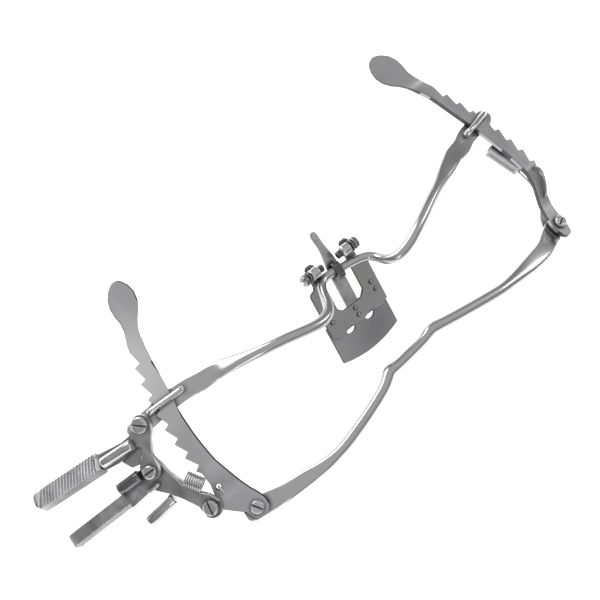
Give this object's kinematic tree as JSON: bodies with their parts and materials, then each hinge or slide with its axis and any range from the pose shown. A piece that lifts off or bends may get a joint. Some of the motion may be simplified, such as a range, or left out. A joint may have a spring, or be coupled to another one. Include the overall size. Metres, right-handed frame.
{
  "type": "mouth gag",
  "caption": "Ratchet mouth gag: stepped tooth bow, sliding tongue bow on toothed racks, tongue plate and a side spreader with serrated grips.",
  "frame": {"origin": "middle of the lowest level of the part's box", "axes": "+X from the spreader side to the plain rack side, +Y the way the tongue bow moves as the jaws open, +Z out of the patient's mouth"},
  "size_m": [0.2076, 0.0912, 0.0493],
  "materials": {
    "satin_steel": "satin",
    "polished_steel": "polished",
    "brushed_steel": "brushed along the wire",
    "dark_steel": "dark, in shadow",
    "spring_steel": "drawn wire"
  },
  "bodies": {
    "tooth_frame": {"tooth_bow": "brushed_steel", "right_guard_arm": "brushed_steel", "right_guard_channel": "satin_steel", "left_pivot_screw": "polished_steel", "left_pivot_washer": "dark_steel", "left_pivot_nut": "polished_steel", "right_pivot_screw": "polished_steel", "right_pivot_washer": "dark_steel", "right_pivot_nut": "polished_steel"},
    "tongue_jaw": {"tongue_bow": "brushed_steel", "left_staple": "polished_steel", "right_staple": "polished_steel"},
    "left_rack_arm": {"left_rack": "satin_steel", "left_spring_hook": "polished_steel", "lower_boss_screw": "polished_steel", "lower_boss_collar": "satin_steel"},
    "right_rack_arm": {"right_rack": "satin_steel", "right_spring_hook": "spring_steel"},
    "tongue_plate": {"carrier_plate": "satin_steel", "tongue_blade": "brushed_steel", "plate_rivet_1": "satin_steel", "plate_rivet_2": "satin_steel", "plate_rivet_3": "satin_steel", "plate_rivet_4": "satin_steel", "plate_rivet_5": "satin_steel", "plate_rivet_6": "satin_steel", "left_clamp_barrel": "polished_steel", "left_clamp_disc": "dark_steel", "left_clamp_screw": "polished_steel", "left_clamp_stud": "dark_steel", "right_clamp_barrel": "polished_steel", "right_clamp_disc": "dark_steel", "right_clamp_screw": "polished_steel", "right_clamp_stud": "dark_steel"},
    "finger_catch": {"finger_strip": "brushed_steel", "catch_block": "dark_steel"},
    "lower_handle": {"lower_lever": "satin_steel", "lower_barrel": "dark_steel", "stop_peg": "polished_steel", "latch_pin": "polished_steel", "spreader_pin": "polished_steel", "spreader_spring": "spring_steel"},
    "upper_handle": {"upper_lever": "satin_steel", "upper_barrel": "polished_steel", "grip_web": "polished_steel", "upper_boss_screw": "polished_steel"}
  },
  "joints": [
    {"name": "jaw_opening", "type": "slide", "parent": "tooth_frame", "child": "tongue_jaw", "axis": [0, 1, 0], "range_m": [-0.012, 0.002]},
    {"name": "left_rack_swing", "type": "hinge", "parent": "tooth_frame", "child": "left_rack_arm", "pos_m": [-0.05697, -0.03823, 0.02708], "axis": [-0.342, 0, 0.9397], "range_deg": [-4, 0.68]},
    {"name": "right_rack_swing", "type": "hinge", "parent": "tooth_frame", "child": "right_rack_arm", "pos_m": [0.09303, -0.03823, 0.02708], "axis": [0.342, 0, 0.9397], "range_deg": [-0.68, 4]},
    {"name": "tongue_plate_tilt", "type": "hinge", "parent": "tongue_jaw", "child": "tongue_plate", "pos_m": [0.01753, -0.00045, 0.03838], "axis": [0.9734, -0.229, 0], "range_deg": [-12, 8]},
    {"name": "finger_catch_turn", "type": "hinge", "parent": "tongue_plate", "child": "finger_catch", "pos_m": [0.01753, -0.00045, 0.03838], "axis": [0.9734, -0.229, 0], "range_deg": [-5, 5]},
    {"name": "lower_handle_swing", "type": "hinge", "parent": "left_rack_arm", "child": "lower_handle", "pos_m": [-0.06933, -0.02843, 0.03055], "axis": [-0.6428, 0, 0.766], "range_deg": [-4.48, 26.82], "deforming": ["spreader_spring"]},
    {"name": "handle_squeeze", "type": "hinge", "parent": "lower_handle", "child": "upper_handle", "pos_m": [-0.07347, -0.00703, 0.02708], "axis": [-0.6428, 0, 0.766], "range_deg": [-68.35, 11.4]}
  ],
  "couplings": [
    {"joint": "left_rack_swing", "follows": "jaw_opening", "rad_per_m": 5.8},
    {"joint": "right_rack_swing", "follows": "jaw_opening", "rad_per_m": -5.8},
    {"joint": "lower_handle_swing", "follows": "jaw_opening", "rad_per_m": -39},
    {"joint": "handle_squeeze", "follows": "jaw_opening", "rad_per_m": 99.4}
  ]
}
